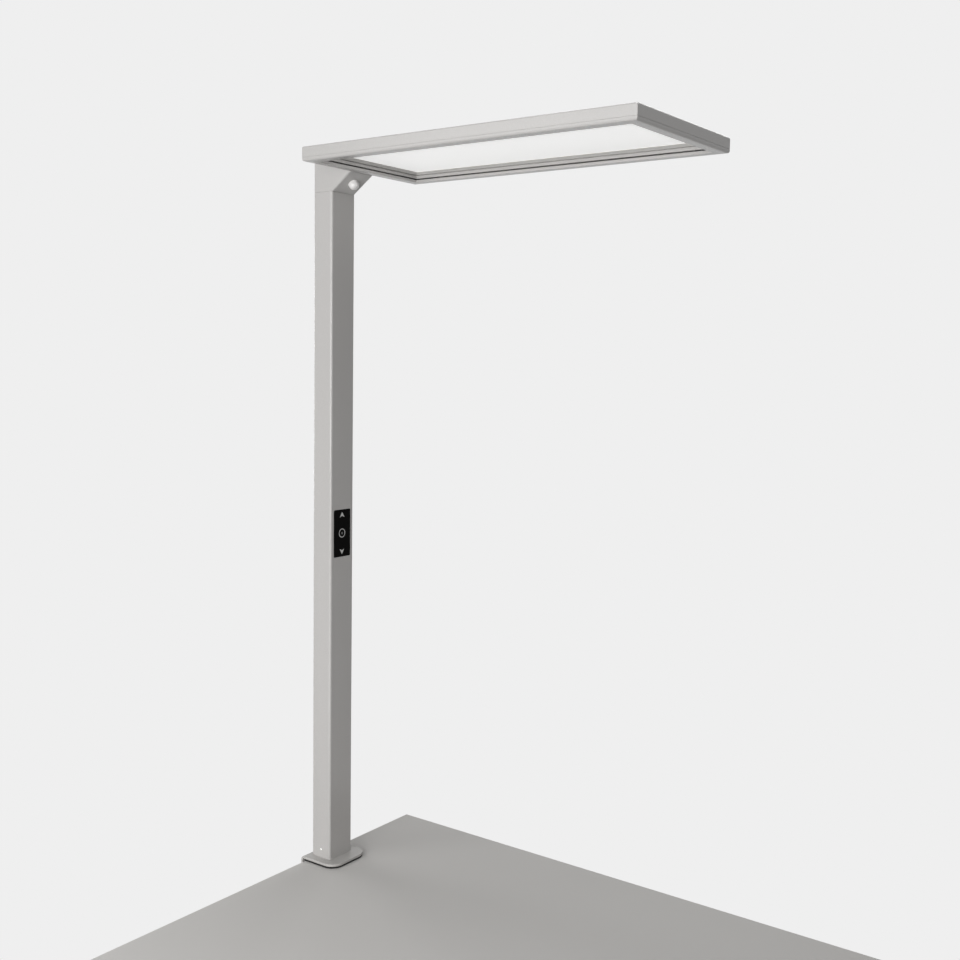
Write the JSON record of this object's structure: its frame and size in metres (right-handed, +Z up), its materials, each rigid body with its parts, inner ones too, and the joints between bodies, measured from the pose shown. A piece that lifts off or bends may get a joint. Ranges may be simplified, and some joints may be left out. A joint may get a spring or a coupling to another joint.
{
  "type": "led table lamp",
  "caption": "Desk clamp LED lamp: square column with push keys, short neck with presence sensor, and a wide flat head with an opal light panel.",
  "frame": {"origin": "centre of the column's section, on the desk top under the clamp's pad", "axes": "+Z up along the column, +X along the head towards its free end, +Y along the desk's back edge"},
  "size_m": [0.7398, 0.296, 1.442],
  "materials": {
    "powder_coat": "warm silver-grey powder coat",
    "coated_steel": "warm silver-grey powder coat",
    "bright_steel": "zinc plated",
    "rubber": "matt",
    "knob_plastic": "fine grain",
    "panel_gloss": "satin black",
    "key_plastic": "satin black",
    "dark_plastic": "matt",
    "grey_plastic": "matt, matches the powder coat",
    "driver_white": "matt",
    "circuit_board": "solder mask",
    "switch_plastic": "matt",
    "strip_board": "white solder mask",
    "chip_yellow": "phosphor",
    "opal": "opal",
    "clear_guide": "clear acrylic",
    "reflector": "white film",
    "foam": "soft foam",
    "lens_white": "translucent white",
    "lead_sheath": "flexible sheath"
  },
  "bodies": {
    "lamp": {"column": "powder_coat", "neck_housing": "powder_coat", "neck_cover": "powder_coat", "near_rail": "powder_coat", "far_rail": "powder_coat", "neck_end_rail": "powder_coat", "free_end_rail": "powder_coat", "top_cover": "powder_coat", "clamp_plate": "coated_steel", "lower_jaw": "coated_steel", "jaw_bolts": "bright_steel", "spindle_nut": "bright_steel", "column_foot": "bright_steel", "foot_screws": "bright_steel", "tray_screws": "bright_steel", "driver_screws": "bright_steel", "board_screws": "bright_steel", "neck_cover_screws": "bright_steel", "neck_screws": "bright_steel", "head_screws": "bright_steel", "corner_key_screws": "bright_steel", "top_cover_screws": "bright_steel", "head_nut_plate": "bright_steel", "driver_tray": "bright_steel", "set_screws": "bright_steel", "desk_pad": "rubber", "head_grommet": "rubber", "cable_bush": "knob_plastic", "bush_nut": "knob_plastic", "control_foil": "panel_gloss", "panel_housing": "dark_plastic", "sensor_holder": "dark_plastic", "corner_keys": "dark_plastic", "insert_frame": "grey_plastic", "led_driver": "driver_white", "head_terminal": "driver_white", "key_board": "circuit_board", "sensor_board": "circuit_board", "key_switches": "switch_plastic", "near_led_strip": "strip_board", "far_led_strip": "strip_board", "led_chips": "chip_yellow", "diffuser": "opal", "light_guide": "clear_guide", "reflector_sheet": "reflector", "foam_pad": "foam", "sensor_lens": "lens_white", "head_lead": "lead_sheath", "panel_lead": "lead_sheath", "sensor_lead": "lead_sheath", "strip_leads": "lead_sheath"},
    "clamp_foot": {"pressure_foot": "bright_steel", "foot_pad": "rubber"},
    "clamp_screw": {"clamp_spindle": "bright_steel", "clamp_knob": "knob_plastic", "knob_pin": "bright_steel"},
    "up_key_body": {"up_key": "key_plastic"},
    "power_key_body": {"power_key": "key_plastic"},
    "down_key_body": {"down_key": "key_plastic"}
  },
  "joints": [
    {"name": "clamp_foot_slide", "type": "slide", "parent": "lamp", "child": "clamp_foot", "axis": [0, 0, 1], "range_m": [-0.04, 0.015]},
    {"name": "spindle_turn", "type": "hinge", "parent": "clamp_foot", "child": "clamp_screw", "pos_m": [0.012, 0, -0.1], "axis": [0, 0, 1], "range_deg": [-4801, 1801]},
    {"name": "up_key_press", "type": "slide", "parent": "lamp", "child": "up_key_body", "axis": [-1, 0, 0], "range_m": [0, 0.0003], "stiffness_N_per_m": 800, "springref_m": -0.001},
    {"name": "power_key_press", "type": "slide", "parent": "lamp", "child": "power_key_body", "axis": [-1, 0, 0], "range_m": [0, 0.0003], "stiffness_N_per_m": 800, "springref_m": -0.001},
    {"name": "down_key_press", "type": "slide", "parent": "lamp", "child": "down_key_body", "axis": [-1, 0, 0], "range_m": [0, 0.0003], "stiffness_N_per_m": 800, "springref_m": -0.001}
  ],
  "couplings": [
    {"joint": "spindle_turn", "follows": "clamp_foot_slide", "rad_per_m": 2094.4}
  ]
}
